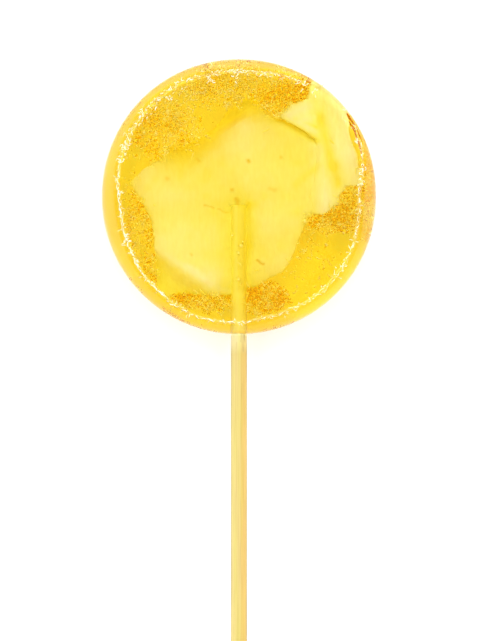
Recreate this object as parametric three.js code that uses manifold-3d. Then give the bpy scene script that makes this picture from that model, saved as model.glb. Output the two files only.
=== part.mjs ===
// A flat round lollipop of clear amber sugar, cast over two dried melon slices and a bamboo stick.
//
// Frame, in millimetres: the origin is the centre of the disc's flat back, which the lollipop lies on.
// +Z goes up through the disc to its shown face, and the stick leaves the disc along -Y.
//
// The sugar disc is one solid. The stick's socket opens at the rim and leads to the hollow that the
// melon fills, so stick, melon and sugar are separate solids with a small clearance between them.

import * as THREE from "three";
import { mergeVertices } from "three/addons/utils/BufferGeometryUtils.js";
import Module from "manifold-3d";

const wasm = await Module();
wasm.setup();

const { smoothstep, degToRad, euclideanModulo } = THREE.MathUtils;

// ---- Driving dimensions ----

const CLEARANCE = 0.3; // between two pieces that touch

const DISC_DIAMETER = 50;
const DISC_THICKNESS = 8; // at the flat of the shown face
const DISC_SIDES = 96;
const RIM_SLOPE = 1.2; // how far the rim drops to its widest part, for each millimetre outside the ridge
const BACK_ROUND = 1.8; // radius of the edge round the back
const BEAD_HEIGHT = 0.25; // of the narrow ridge that runs round the shown face
const BEAD_WIDTH = 1.1;
const BEAD_FOOT = 0.12; // where the ridge ends, as a share of the quarter turn that rounds the rim
const FACE_DISH = 0.15; // how far the middle of the shown face lies below its edge
const FACE_RINGS = [0.3, 0.6, 0.85]; // radii of the face's rings of vertices, as shares of the ridge's
// Radius of the ridge every 22.5 degrees from +X towards +Y. It wanders, as poured sugar does.
const BEAD_RADII = [
  21.7, 23.6, 23.9, 23.1, 22.3, 22.7, 22.9, 22.4, 21.6, 21.8, 22.4, 22.8, 22.8, 22.5, 22.8, 22.5,
];

const STICK_DIAMETER = 3;
const STICK_LENGTH = 120;
const STICK_SIDES = 32;
const STICK_CHAMFER = 0.25;
const STICK_TOP_Y = -1.6; // the stick's inner end, just short of the disc's centre
const STICK_AXIS_Z = 5;

const MELON_CELL = 1.4; // spacing of the vertices on a slice
const MELON_FEATHER = 1.6; // width of the band in which a slice thins towards its torn edge
const MELON_EDGE = 0.55; // thickness that is left at the edge, as a share of the full one

const MAIN_LEVEL = 6.2; // height of the main slice's upper side
const MAIN_THICKNESS = 1.7;
const MAIN_WAVE = { height: 0.25, length: 17, heading: degToRad(25) };
const MAIN_RIPPLE = { height: 0.12, length: 7.5, heading: degToRad(100) };
// The upper left edge sinks away into the sugar. Its left tip stays up: the fade is the length over
// which the sinking sets in along the edge.
const SUNKEN_EDGE = { x: -17, y: 5, heading: degToRad(35.7), depth: 2.6, width: 6, fade: 9 };
const FOLD = { x: -15, y: -9.4, heading: degToRad(-30.5), length: 15.5, bow: 0.9, rise: 0.8, drop: 1.3 };
const FOLD_NEAR_WIDTH = 2.6; // the fold rises slowly from the middle of the slice
const FOLD_FAR_WIDTH = 1.4; // and falls steeply to its corner
const FOLD_FADE = 5; // length over which it dies out before the stick
const STICK_BED = { depth: 0.5, width: 3.4, fade: 2.8, bottom: 1.7 }; // the stick lies pressed into the slice

const UPPER_LEVEL = 7.1; // height of the small slice's upper side
const UPPER_THICKNESS = 1.1;
const UPPER_WAVE = { height: 0.15, length: 9, heading: degToRad(80) };
const UPPER_GROOVE = { x: 14.7, y: 14.5, toX: 17.8, toY: 2.1, depth: 0.9, width: 1.1 };
const SLICE_GAP = 0.45; // between the small slice and the main one under it
// The small slice's edge presses a dent into the main one, deepest under its upper left corner.
const EDGE_DENT = { depth: 0.8, width: 1.3, lead: 1, y: 9, fade: 3 };
const MITRE_LIMIT = 0.5; // keeps a sharp corner from reaching further out than twice its sides do

// Torn outlines of the slices, seen from above, anticlockwise.
const MAIN_OUTLINE = [
  [-19.6, 2.5], [-18.7, 0.8], [-17, -2], [-15.8, -4.4], [-15.3, -7.8], [-14.9, -14.2], [-14.9, -17.2],
  [-13.2, -18.4], [-11.4, -17.8], [-8.3, -17.6], [-4.5, -18], [-1.5, -17.8], [2.1, -16.3], [3.5, -16.1],
  [5.6, -14.5], [7.7, -13.8], [9.1, -12.1], [10.3, -9.3], [11.2, -6.5], [12.6, -4], [15, -1], [15.8, 4],
  [15, 9], [12, 12.5], [7.4, 13.8], [4.9, 14.7], [3.2, 17.1], [1.8, 18.5], [0.4, 17.5], [-2.4, 14.7],
  [-4.1, 12.6], [-6.2, 10.9], [-10.4, 9.1], [-13.2, 8.5], [-14.2, 6.7], [-17, 5],
];
const UPPER_OUTLINE = [
  [7.4, 14.5], [9.1, 13.3], [11.2, 12.1], [14, 10.4], [14.2, 9.4], [13.8, 6.7], [13.2, 3], [12.9, -0.6],
  [13.3, -3.2], [15.4, -3.4], [17.1, -1.8], [18.1, -1.6], [18.1, 0.1], [19.2, 1.8], [22.2, 1.9],
  [21.5, 5.3], [21, 7.4], [19.9, 11], [19.4, 13.3], [18.7, 14.8], [17.5, 16.2], [15.9, 17.8], [14.2, 19],
  [12.6, 19.8], [12.6, 17.5], [9.6, 16.4],
];

// ---- Solids from three.js geometry, and back ----

function toSolid(geometry) {
  const bare = new THREE.BufferGeometry();
  bare.setAttribute("position", geometry.getAttribute("position"));
  bare.setIndex(geometry.index);
  const merged = mergeVertices(bare, 1e-4);
  return new wasm.Manifold(
    new wasm.Mesh({
      numProp: 3,
      vertProperties: merged.getAttribute("position").array,
      triVerts: new Uint32Array(merged.index.array),
    }),
  );
}

function toGeometry(solid) {
  const mesh = solid.getMesh();
  const geometry = new THREE.BufferGeometry();
  geometry.setAttribute("position", new THREE.BufferAttribute(mesh.vertProperties, mesh.numProp));
  geometry.setIndex(new THREE.BufferAttribute(mesh.triVerts, 1));
  geometry.computeVertexNormals();
  return geometry;
}

// ---- The sugar disc ----

// Radius of the ridge at an angle, on a smooth closed curve through BEAD_RADII.
function beadRadius(angle) {
  const count = BEAD_RADII.length;
  const place = (euclideanModulo(angle, 2 * Math.PI) / (2 * Math.PI)) * count;
  const first = Math.floor(place);
  const t = place - first;
  const [a, b, c, d] = [-1, 0, 1, 2].map((step) => BEAD_RADII[euclideanModulo(first + step, count)]);
  return b + 0.5 * t * (c - a + t * (2 * a - 5 * b + 4 * c - d + t * (3 * (b - c) + d - a)));
}

// The disc's half section at an angle, as [radius, height] from the shown face's centre to the back's.
function discSection(angle) {
  const outer = DISC_DIAMETER / 2;
  const bead = beadRadius(angle);
  const drop = RIM_SLOPE * (outer - bead);
  const points = [];
  for (const share of FACE_RINGS)
    points.push([share * bead, DISC_THICKNESS - FACE_DISH * (1 - share ** 2)]);
  points.push([bead - BEAD_WIDTH / 2, DISC_THICKNESS]);
  points.push([bead, DISC_THICKNESS + BEAD_HEIGHT]);
  const rimSteps = 6;
  for (let i = 0; i <= rimSteps; i++) {
    const turn = (THREE.MathUtils.lerp(BEAD_FOOT, 1, i / rimSteps) * Math.PI) / 2;
    points.push([
      bead + (outer - bead) * Math.sin(turn),
      DISC_THICKNESS - drop * (1 - Math.cos(turn)),
    ]);
  }
  const backSteps = 4;
  for (let i = 0; i <= backSteps; i++) {
    const turn = ((i / backSteps) * Math.PI) / 2;
    points.push([
      outer - BACK_ROUND * (1 - Math.cos(turn)),
      BACK_ROUND * (1 - Math.sin(turn)),
    ]);
  }
  return points;
}

// The disc as if nothing was cast in it: rings of vertices round Z, closed by a fan on each face.
function plainDisc() {
  const positions = [0, 0, DISC_THICKNESS - FACE_DISH];
  const indices = [];
  const rings = discSection(0).length;
  const ringVertex = (side, ring) => 1 + (side % DISC_SIDES) * rings + ring;
  const back = 1 + DISC_SIDES * rings;
  for (let side = 0; side < DISC_SIDES; side++) {
    const angle = (side / DISC_SIDES) * 2 * Math.PI;
    for (const [radius, height] of discSection(angle))
      positions.push(radius * Math.cos(angle), radius * Math.sin(angle), height);
    indices.push(0, ringVertex(side, 0), ringVertex(side + 1, 0));
    for (let ring = 0; ring < rings - 1; ring++) {
      const a = ringVertex(side, ring);
      const b = ringVertex(side, ring + 1);
      const c = ringVertex(side + 1, ring + 1);
      const d = ringVertex(side + 1, ring);
      indices.push(a, b, c, a, c, d);
    }
    indices.push(back, ringVertex(side + 1, rings - 1), ringVertex(side, rings - 1));
  }
  positions.push(0, 0, 0);
  const geometry = new THREE.BufferGeometry();
  geometry.setAttribute("position", new THREE.Float32BufferAttribute(positions, 3));
  geometry.setIndex(indices);
  return geometry;
}

// ---- The stick ----

// A round stick in place along Y, larger all over by grow.
function stickGeometry(grow) {
  const radius = STICK_DIAMETER / 2 + grow;
  const end = STICK_LENGTH / 2 + grow;
  const profile = [
    new THREE.Vector2(0, -end),
    new THREE.Vector2(radius - STICK_CHAMFER, -end),
    new THREE.Vector2(radius, -end + STICK_CHAMFER),
    new THREE.Vector2(radius, end - STICK_CHAMFER),
    new THREE.Vector2(radius - STICK_CHAMFER, end),
    new THREE.Vector2(0, end),
  ];
  const geometry = new THREE.LatheGeometry(profile, STICK_SIDES);
  return geometry.translate(0, STICK_TOP_Y - STICK_LENGTH / 2, STICK_AXIS_Z);
}

// ---- The melon slices ----

function wave({ height, length, heading }, x, y) {
  const along = x * Math.cos(heading) + y * Math.sin(heading);
  return height * Math.sin((along / length) * 2 * Math.PI);
}

// Distance of a point from an outline's nearest side, positive inside.
function depthInside(outline, x, y) {
  let nearest = Infinity;
  let inside = false;
  outline.forEach(([x0, y0], i) => {
    const [x1, y1] = outline[(i + 1) % outline.length];
    const t = THREE.MathUtils.clamp(
      ((x - x0) * (x1 - x0) + (y - y0) * (y1 - y0)) / ((x1 - x0) ** 2 + (y1 - y0) ** 2),
      0,
      1,
    );
    nearest = Math.min(nearest, Math.hypot(x - x0 - t * (x1 - x0), y - y0 - t * (y1 - y0)));
    if (y0 > y !== y1 > y && x < x0 + ((y - y0) / (y1 - y0)) * (x1 - x0)) inside = !inside;
  });
  return inside ? nearest : -nearest;
}

// 1 on the body of a slice, and MELON_EDGE at its torn edge and beyond.
function feather(outline, x, y) {
  const share = smoothstep(depthInside(outline, x, y), 0, MELON_FEATHER);
  return MELON_EDGE + (1 - MELON_EDGE) * share;
}

function upperTop(x, y) {
  const { x: x0, y: y0, toX, toY, depth, width } = UPPER_GROOVE;
  const length = Math.hypot(toX - x0, toY - y0);
  const across = ((x - x0) * (toY - y0) - (y - y0) * (toX - x0)) / length;
  return UPPER_LEVEL + wave(UPPER_WAVE, x, y) - depth * Math.exp(-((across / width) ** 2));
}

function upperBottom(x, y) {
  return upperTop(x, y) - UPPER_THICKNESS * feather(UPPER_OUTLINE, x, y);
}

// How much the fold at the lower left lifts or drops the main slice.
function foldLift(x, y) {
  const { x: x0, y: y0, heading, length, bow, rise, drop } = FOLD;
  const along = (x - x0) * Math.cos(heading) + (y - y0) * Math.sin(heading);
  const share = THREE.MathUtils.clamp(along / length, 0, 1);
  const beyond = (x - x0) * Math.sin(heading) - (y - y0) * Math.cos(heading) - 4 * bow * share * (1 - share);
  const width = beyond < 0 ? FOLD_NEAR_WIDTH : FOLD_FAR_WIDTH;
  const crest = Math.exp(-((beyond / width) ** 2));
  const fade = smoothstep(length - along, 0, FOLD_FADE);
  return fade * (beyond < 0 ? rise * crest : (rise + drop) * crest - drop);
}

// 1 beside and under the stick, falling to 0 away from it.
function nearStick(x, y) {
  const beside = Math.hypot(x, Math.max(0, y - STICK_TOP_Y)) - STICK_BED.width / 2;
  return 1 - smoothstep(beside, 0, STICK_BED.fade);
}

function mainTop(x, y) {
  const { x: x0, y: y0, heading, depth, width, fade } = SUNKEN_EDGE;
  const along = (x - x0) * Math.cos(heading) + (y - y0) * Math.sin(heading);
  const beyond = (y - y0) * Math.cos(heading) - (x - x0) * Math.sin(heading);
  const free =
    MAIN_LEVEL +
    wave(MAIN_WAVE, x, y) +
    wave(MAIN_RIPPLE, x, y) +
    foldLift(x, y) -
    depth * smoothstep(beyond, -width, 0) * smoothstep(along, 0, fade) -
    STICK_BED.depth * nearStick(x, y);
  // It stays clear of the small slice, whose weight rests on its own edge.
  const inside = depthInside(UPPER_OUTLINE, x, y);
  const dent =
    EDGE_DENT.depth *
    Math.exp(-((inside / EDGE_DENT.width) ** 2)) *
    smoothstep(y, EDGE_DENT.y, EDGE_DENT.y + EDGE_DENT.fade);
  const under = smoothstep(inside, -EDGE_DENT.lead, 0);
  const pressed = Math.min(free, upperBottom(x, y) - SLICE_GAP);
  return free + (pressed - free) * under - dent;
}

function mainBottom(x, y) {
  const thin = mainTop(x, y) - MAIN_THICKNESS * feather(MAIN_OUTLINE, x, y);
  return thin + (Math.min(thin, STICK_BED.bottom) - thin) * nearStick(x, y);
}

// A closed block over an outline's box, with a shaped upper and lower side.
function shapedBlock(outline, topAt, bottomAt) {
  const margin = 1;
  const xs = outline.map(([x]) => x);
  const ys = outline.map(([, y]) => y);
  const x0 = Math.min(...xs) - margin;
  const y0 = Math.min(...ys) - margin;
  const columns = Math.ceil((Math.max(...xs) + margin - x0) / MELON_CELL);
  const rows = Math.ceil((Math.max(...ys) + margin - y0) / MELON_CELL);
  const positions = [];
  const indices = [];
  for (const heightAt of [topAt, bottomAt])
    for (let row = 0; row <= rows; row++)
      for (let column = 0; column <= columns; column++) {
        const x = x0 + column * MELON_CELL;
        const y = y0 + row * MELON_CELL;
        positions.push(x, y, heightAt(x, y));
      }
  const top = (column, row) => row * (columns + 1) + column;
  const bottom = (column, row) => top(column, row) + (columns + 1) * (rows + 1);
  const quad = (a, b, c, d) => indices.push(a, b, c, a, c, d);
  for (let row = 0; row < rows; row++)
    for (let column = 0; column < columns; column++) {
      quad(top(column, row), top(column + 1, row), top(column + 1, row + 1), top(column, row + 1));
      quad(bottom(column, row), bottom(column, row + 1), bottom(column + 1, row + 1), bottom(column + 1, row));
    }
  for (let column = 0; column < columns; column++) {
    quad(bottom(column, 0), bottom(column + 1, 0), top(column + 1, 0), top(column, 0));
    quad(bottom(column + 1, rows), bottom(column, rows), top(column, rows), top(column + 1, rows));
  }
  for (let row = 0; row < rows; row++) {
    quad(bottom(0, row + 1), bottom(0, row), top(0, row), top(0, row + 1));
    quad(bottom(columns, row), bottom(columns, row + 1), top(columns, row + 1), top(columns, row));
  }
  const geometry = new THREE.BufferGeometry();
  geometry.setAttribute("position", new THREE.Float32BufferAttribute(positions, 3));
  geometry.setIndex(indices);
  return geometry;
}

// An outline moved outwards by distance, each corner along the mean of its two sides' normals.
function grownOutline(outline, distance) {
  return outline.map(([x, y], i) => {
    const [xa, ya] = outline.at(i - 1);
    const [xb, yb] = outline[(i + 1) % outline.length];
    const before = new THREE.Vector2(y - ya, xa - x).normalize();
    const after = new THREE.Vector2(yb - y, x - xb).normalize();
    const out = before.clone().add(after).normalize();
    const reach = distance / Math.max(MITRE_LIMIT, out.dot(after));
    return [x + out.x * reach, y + out.y * reach];
  });
}

// A slice: the shaped block cut to its outline, larger all over by grow.
function sliceSolid(outline, topAt, bottomAt, grow) {
  const block = shapedBlock(
    outline,
    (x, y) => topAt(x, y) + grow,
    (x, y) => bottomAt(x, y) - grow,
  );
  const shape = new THREE.Shape(grownOutline(outline, grow).map(([x, y]) => new THREE.Vector2(x, y)));
  const cutter = new THREE.ExtrudeGeometry(shape, { depth: DISC_THICKNESS, bevelEnabled: false });
  return toSolid(block).intersect(toSolid(cutter));
}

// ---- The lollipop ----

function piece(name, geometry, color, roughness, opacity = 1) {
  const material = new THREE.MeshStandardMaterial({
    color,
    roughness,
    metalness: 0,
    opacity,
    transparent: opacity < 1,
  });
  const mesh = new THREE.Mesh(geometry, material);
  mesh.name = name;
  return mesh;
}

const socket = toSolid(stickGeometry(CLEARANCE));
const mainSlice = sliceSolid(MAIN_OUTLINE, mainTop, mainBottom, 0).subtract(socket);
const upperSlice = sliceSolid(UPPER_OUTLINE, upperTop, upperBottom, 0);
const sugarDisc = toSolid(plainDisc())
  .subtract(socket)
  .subtract(sliceSolid(MAIN_OUTLINE, mainTop, mainBottom, CLEARANCE))
  .subtract(sliceSolid(UPPER_OUTLINE, upperTop, upperBottom, CLEARANCE));

const lollipop = new THREE.Group();
lollipop.add(
  piece("sugar_disc", toGeometry(sugarDisc), 0xf8cf2d, 0.08, 0.6),
  piece("melon_slice_main", toGeometry(mainSlice), 0xfeeb64, 0.5),
  piece("melon_slice_upper", toGeometry(upperSlice), 0xfcee80, 0.5),
  piece("stick", stickGeometry(0), 0xfbe48c, 0.65),
);

export default lollipop;
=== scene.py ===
# %% [markdown]
# # A melon lollipop of clear amber sugar
# A lollipop like this is made flat. Syrup is poured on a mat, dried slices of melon and a bamboo
# stick are laid in it, and it sets as a glassy disc full of fine bubbles. This lesson dresses the
# measured model of it: the disc, the two slices and the stick are loaded with their real sizes, and
# each of them gets its real surface. What is too fine for the measured model is added here: the
# bubbles, the froth and the crackled line that runs round the face.
#
# All lengths in this file are millimetres, and `mesh_piece` turns them into Blender's metres.

# %% Load the measured parts
import itertools
import math

import bmesh
import bpy
import numpy as np
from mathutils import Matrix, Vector
from mathutils.bvhtree import BVHTree


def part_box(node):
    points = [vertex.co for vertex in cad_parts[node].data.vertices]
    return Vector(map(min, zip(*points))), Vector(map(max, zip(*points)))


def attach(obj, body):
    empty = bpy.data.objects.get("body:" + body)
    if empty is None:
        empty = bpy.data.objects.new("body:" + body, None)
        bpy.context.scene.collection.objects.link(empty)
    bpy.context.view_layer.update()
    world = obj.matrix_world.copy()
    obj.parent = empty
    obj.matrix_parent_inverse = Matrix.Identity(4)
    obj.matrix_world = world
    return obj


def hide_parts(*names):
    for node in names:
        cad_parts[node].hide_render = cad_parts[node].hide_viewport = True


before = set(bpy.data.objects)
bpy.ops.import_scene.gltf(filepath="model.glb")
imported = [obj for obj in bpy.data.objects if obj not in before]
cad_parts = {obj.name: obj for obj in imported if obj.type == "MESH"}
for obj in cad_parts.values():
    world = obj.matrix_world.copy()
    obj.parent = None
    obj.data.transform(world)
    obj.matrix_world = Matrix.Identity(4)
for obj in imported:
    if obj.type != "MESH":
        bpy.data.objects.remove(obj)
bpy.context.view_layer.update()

MM = 0.001
print("measured parts:", ", ".join(sorted(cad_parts)))

# %% [markdown]
# ## The camera
# The lollipop lies down, so the camera hangs above it and looks straight down. A long lens keeps the
# disc round. The picture is upright, 480 by 641, so the camera's long side is the picture's height,
# and the distance follows from how many millimetres that height should show.

# %% Camera
PICTURE_HEIGHT = 116.5  # mm of the table that the picture's long side shows
VIEW_CENTRE = (0.2, -22.5)
LENS = 100
SENSOR = 36

camera = bpy.data.objects.new("camera", bpy.data.cameras.new("camera"))
bpy.context.collection.objects.link(camera)
camera.data.lens = LENS
camera.data.sensor_width = SENSOR
camera.data.clip_start = 0.01
face_level = 5.0  # the height that the scale is right at, about where the melon lies
camera.location = Vector((*VIEW_CENTRE, face_level + LENS / SENSOR * PICTURE_HEIGHT)) * MM
bpy.context.scene.camera = camera
print("camera height:", round(camera.location.z / MM), "mm")

# %% [markdown]
# ## Helpers
# Everything below is made of arrays of points, so one helper turns points and faces into a mesh
# object, and one lists the faces of a skin that runs over rings of points, as on the disc, the stick
# and each thread. Relief is value noise: a random height at each corner of a grid, blended smoothly
# in between. Each use has its own seed, so the file gives the same lollipop every time it runs.

# %% Helpers for shapes
def mesh_piece(name, points, faces, material):
    """A smooth mesh object that rides with the lollipop, from points in millimetres.

    It prints the volume inside too, which is below zero where the faces point inwards."""
    mesh = bpy.data.meshes.new(name)
    count, corners = faces.shape
    mesh.vertices.add(len(points))
    mesh.vertices.foreach_set("co", (np.asarray(points) * MM).astype(np.float32).ravel())
    mesh.loops.add(count * corners)
    mesh.loops.foreach_set("vertex_index", faces.astype(np.int32).ravel())
    mesh.polygons.add(count)
    mesh.polygons.foreach_set("loop_start", np.arange(0, count * corners, corners, dtype=np.int32))
    mesh.update(calc_edges=True)
    mesh.shade_smooth()
    mesh.materials.append(material)
    piece = bpy.data.objects.new(name, mesh)
    bpy.context.collection.objects.link(piece)
    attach(piece, "root")
    first, second, third, fourth = (points[faces[:, corner]] for corner in (0, 1, 2, -1))
    volume = np.einsum("ij,ij->i", first, np.cross(second, third) + np.cross(third, fourth)).sum() / 6
    print(f"{name}: {count * (corners - 2)} triangles, {volume:.1f} cubic mm")
    return piece


def ring_faces(rings, sides):
    """Triangles over rings of points, closed by two points that follow them: the ends' middles."""
    here = np.arange(sides)
    beside = (here + 1) % sides
    first_end, last_end, last = rings * sides, rings * sides + 1, (rings - 1) * sides
    faces = [np.stack([0 * here + first_end, here, beside], -1)]
    for near in range(0, last, sides):
        far = near + sides
        faces.append(np.stack([near + here, far + here, far + beside], -1))
        faces.append(np.stack([near + here, far + beside, near + beside], -1))
    faces.append(np.stack([0 * here + last_end, last + beside, last + here], -1))
    return np.concatenate(faces)


def mottle(points, size, seed):
    """Smooth noise from -1 to 1 at each point, with its bumps about size millimetres apart."""
    draw = np.random.default_rng(seed)
    order = draw.permutation(256)
    height = draw.uniform(-1, 1, 256)
    place = np.atleast_2d(points) / size
    cell = np.floor(place).astype(int)
    part = place - cell
    part = part * part * (3 - 2 * part)
    total = 0
    for corner in itertools.product((0, 1), repeat=3):
        i, j, k = ((cell + corner) & 255).T
        share = np.prod(np.where(np.array(corner, bool), part, 1 - part), axis=1)
        total = total + share * height[order[(order[(order[i] + j) & 255] + k) & 255]]
    return total


def relief(points, layers, seed):
    """Layers of noise, each given as its height and the distance between its bumps."""
    return sum(height * mottle(points, size, seed + layer) for layer, (height, size) in enumerate(layers))


def store(piece, name, values):
    """Keeps one number for each point of a piece, for its material to read."""
    kept = piece.data.attributes.new(name, "FLOAT", "POINT")
    kept.data.foreach_set("value", np.asarray(values, np.float32))


print("helpers for shapes are ready")

# %% [markdown]
# A material is a small tree of nodes. The same few turn up in every finish here: noise that is fixed
# to the object, a ramp that turns a number into a colour, a mix of two colours, a number stored on
# the points, and low relief that bends the light without moving the surface.

# %% Helpers for finishes
def start_material(name, roughness):
    """A material, with its node tree and its main shader."""
    material = bpy.data.materials.new(name)
    material.use_nodes = True
    shader = material.node_tree.nodes["Principled BSDF"]
    shader.inputs["Roughness"].default_value = roughness
    return material, material.node_tree, shader


def noise_node(tree, size, detail=3, stretch=(1, 1, 1)):
    """Noise fixed to the object, with spots about size millimetres across, stretched along an axis."""
    place = tree.nodes.new("ShaderNodeTexCoord")
    scaled = tree.nodes.new("ShaderNodeVectorMath")
    scaled.operation = "DIVIDE"
    scaled.inputs[1].default_value = [size * MM * s for s in stretch]
    noise = tree.nodes.new("ShaderNodeTexNoise")
    noise.inputs["Scale"].default_value = 1
    noise.inputs["Detail"].default_value = detail
    tree.links.new(place.outputs["Object"], scaled.inputs[0])
    tree.links.new(scaled.outputs["Vector"], noise.inputs["Vector"])
    return noise.outputs["Fac"]


def stored_node(tree, name):
    """The numbers that store kept, as a source for other nodes."""
    reader = tree.nodes.new("ShaderNodeAttribute")
    reader.attribute_name = name
    return reader.outputs["Fac"]


def ramp_node(tree, source, stops):
    """A colour ramp over a source, from {position: colour}, where a lone number is a grey."""
    ramp = tree.nodes.new("ShaderNodeValToRGB")
    elements = ramp.color_ramp.elements
    for extra in range(len(stops) - 2):
        elements.new(0.5)
    for element, (position, color) in zip(elements, sorted(stops.items())):
        element.position = position
        element.color = (*(color if isinstance(color, tuple) else (color,) * 3), 1)
    tree.links.new(source, ramp.inputs["Fac"])
    return ramp.outputs["Color"]


def mix_node(tree, first, second, factor=1, blend="MIX"):
    """Two colours mixed by a factor, which is a number or another node's output."""
    mix = tree.nodes.new("ShaderNodeMix")
    mix.data_type = "RGBA"
    mix.blend_type = blend
    if isinstance(factor, (int, float)):
        mix.inputs["Factor"].default_value = factor
    else:
        tree.links.new(factor, mix.inputs["Factor"])
    tree.links.new(first, mix.inputs["A"])
    tree.links.new(second, mix.inputs["B"])
    return mix.outputs["Result"]


def uneven_colour(tree, shader, size, stops):
    """Gives a shader a colour that drifts between some tones, in spots of a size in millimetres."""
    tree.links.new(ramp_node(tree, noise_node(tree, size), stops), shader.inputs["Base Color"])


def bump_node(tree, shader, source, depth):
    """Low relief of a depth in millimetres, from a source between 0 and 1."""
    bump = tree.nodes.new("ShaderNodeBump")
    bump.inputs["Distance"].default_value = depth * MM
    tree.links.new(source, bump.inputs["Height"])
    tree.links.new(bump.outputs["Normal"], shader.inputs["Normal"])


print("helpers for finishes are ready")

# %% [markdown]
# ## Light for something clear
# Glass and clear sugar look like what is behind and around them, so they need a bright surround more
# than a lamp. Here the whole sky is a soft white dome, a little brighter at the far side, and the
# floor is white paper. A darker patch right overhead keeps the camera's side of the dome from
# showing as a grey veil on the flat face. Light that goes through sugar on to the melon and back
# bends several times, so the light paths are allowed more bounces than usual. Cycles can blur such
# paths to save noise, which loses much of the light inside glass, so that blur is switched off.

# %% Sky, floor and light paths
SKY_STRENGTH = 1.58
SKY_SIDE = 0.5  # how much brighter the far side is
DOME = {0.0: 1.15, 0.87: 1.0, 0.94: 0.05}  # brightness by height: from the horizon to the dark patch
CLEAR_BOUNCES = 24
MATT_BOUNCES = 8

sky = bpy.data.worlds.new("soft studio dome")
sky.use_nodes = True
bpy.context.scene.world = sky
tree = sky.node_tree
direction = tree.nodes.new("ShaderNodeTexCoord")
split = tree.nodes.new("ShaderNodeSeparateXYZ")
tree.links.new(direction.outputs["Generated"], split.inputs[0])
side = tree.nodes.new("ShaderNodeMath")
side.operation = "MULTIPLY_ADD"
side.inputs[1].default_value = SKY_SIDE
side.inputs[2].default_value = 1
tree.links.new(split.outputs["Y"], side.inputs[0])
light = tree.nodes.new("ShaderNodeVectorMath")
light.operation = "SCALE"
tree.links.new(ramp_node(tree, split.outputs["Z"], DOME), light.inputs[0])
tree.links.new(side.outputs[0], light.inputs["Scale"])
background = tree.nodes["Background"]
tree.links.new(light.outputs["Vector"], background.inputs["Color"])
background.inputs["Strength"].default_value = SKY_STRENGTH

scene = bpy.context.scene
scene.view_settings.view_transform = "Standard"
scene.cycles.max_bounces = CLEAR_BOUNCES
scene.cycles.transmission_bounces = CLEAR_BOUNCES
scene.cycles.glossy_bounces = CLEAR_BOUNCES
scene.cycles.diffuse_bounces = MATT_BOUNCES
scene.cycles.blur_glossy = 0
print("sky strength:", SKY_STRENGTH)

# %% [markdown]
# ### The floor
# A sheet of white paper on a light table. Something clear that lies on plain paper is lit twice
# through its own colour and goes dark at its rim. Light from under the paper goes through the sugar
# once, so thin places stay pale and thick ones turn amber, and the shadow round the disc stays faint.

# %% Floor
PAPER = 600  # half the sheet's side
BELOW = 0.1  # how far the paper lies under the sugar
TABLE_GLOW = 0.38
paper, tree, shader = start_material("white paper", 0.9)
uneven_colour(tree, shader, 0.8, {0.3: 0.74, 0.7: 0.76})
shader.inputs["Emission Color"].default_value = (1, 1, 1, 1)
shader.inputs["Emission Strength"].default_value = TABLE_GLOW
floor_mesh = bpy.data.meshes.new("floor")
corners = [(x * PAPER * MM, y * PAPER * MM, 0) for x, y in ((-1, -1), (1, -1), (1, 1), (-1, 1))]
floor_mesh.from_pydata(corners, [], [(0, 1, 2, 3)])
floor_mesh.materials.append(paper)
floor = bpy.data.objects.new("floor", floor_mesh)
floor.location.z = -BELOW * MM
bpy.context.collection.objects.link(floor)
print("floor:", 2 * PAPER, "mm square")

# %% [markdown]
# ## The sugar
# The disc is clear, so light enters through every side of it, and a facet anywhere shows in the
# refraction. The measured disc has 96 sides, which is right for its shape and too coarse for glass.
# A new surface follows the same section with ten times as many sides. It is built as rings of points
# round the centre, because the rings can crowd together at the ridge, where the detail is.
#
# The ridge itself is where the poured sugar first wrinkled. It wanders, and its path is read from
# the measured disc: the highest points there lie on it.

# %% Where the ridge runs
ROUNDS = 960  # points in each ring
turn = np.arange(ROUNDS) * 2 * math.pi / ROUNDS

measured = np.array([v.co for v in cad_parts["sugar_disc"].data.vertices]) / MM
crest = measured[measured[:, 2] > measured[:, 2].max() - 0.01]
crest_turn = np.arctan2(crest[:, 1], crest[:, 0]) % (2 * math.pi)
crest_radius = np.hypot(crest[:, 0], crest[:, 1])
order = np.argsort(crest_turn)


def ridge_radius(angle):
    """Distance of the ridge from the centre, at an angle."""
    return np.interp(angle, crest_turn[order], crest_radius[order], period=2 * math.pi)


DISC_RADIUS = measured[:, 0].max()
RIDGE_HEIGHT = 0.25  # the measured ridge, over the face
FACE = measured[:, 2].max() - RIDGE_HEIGHT
print(f"disc radius {DISC_RADIUS:.1f}, face at {FACE:.2f}, ridge {crest_radius.min():.1f} to"
      f" {crest_radius.max():.1f} from the centre")

# %% [markdown]
# The face is nearly flat. It dips a little to the middle, has the low swell of poured sugar, and
# carries the ridge as a thin, broken wrinkle. One function gives its height anywhere, because the
# froth and the crackled line have to sit on it later.

# %% The height of the face
FACE_DISH = 0.15  # how far the face dips at its centre
SWELL = [(0.05, 5), (0.018, 1.7)]  # each noise: its height, and the distance between its bumps
WANDER = [(0.12, 0.8), (0.2, 3.1)]
BROKEN = [(1, 0.45), (0.5, 1.3)]
WRINKLE = (0.1, 0.12)  # its height where it is low, and how much more where it is high
WRINKLE_WIDTH = 0.17
SHOULDER = (0.05, 0.5)  # height and width of the low bank that the wrinkle stands on
CALM = (math.radians(47), math.radians(17))  # middle and half width of the stretch without a wrinkle


def flat_places(x, y):
    """Points at the height 0."""
    return np.stack([x, y, 0 * x], -1)


def around_disc(angle):
    return DISC_RADIUS * flat_places(np.cos(angle), np.sin(angle))


def wander(angle):
    """How far the wrinkle strays from the ridge's smooth path."""
    return relief(around_disc(angle), WANDER, 1)


def lively(angle):
    """1 where the wrinkle is full, falling to 0 in the calm stretch."""
    off = (np.asarray(angle) - CALM[0] + math.pi) % (2 * math.pi) - math.pi
    return 1 - np.exp(-((off / CALM[1]) ** 4))


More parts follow.
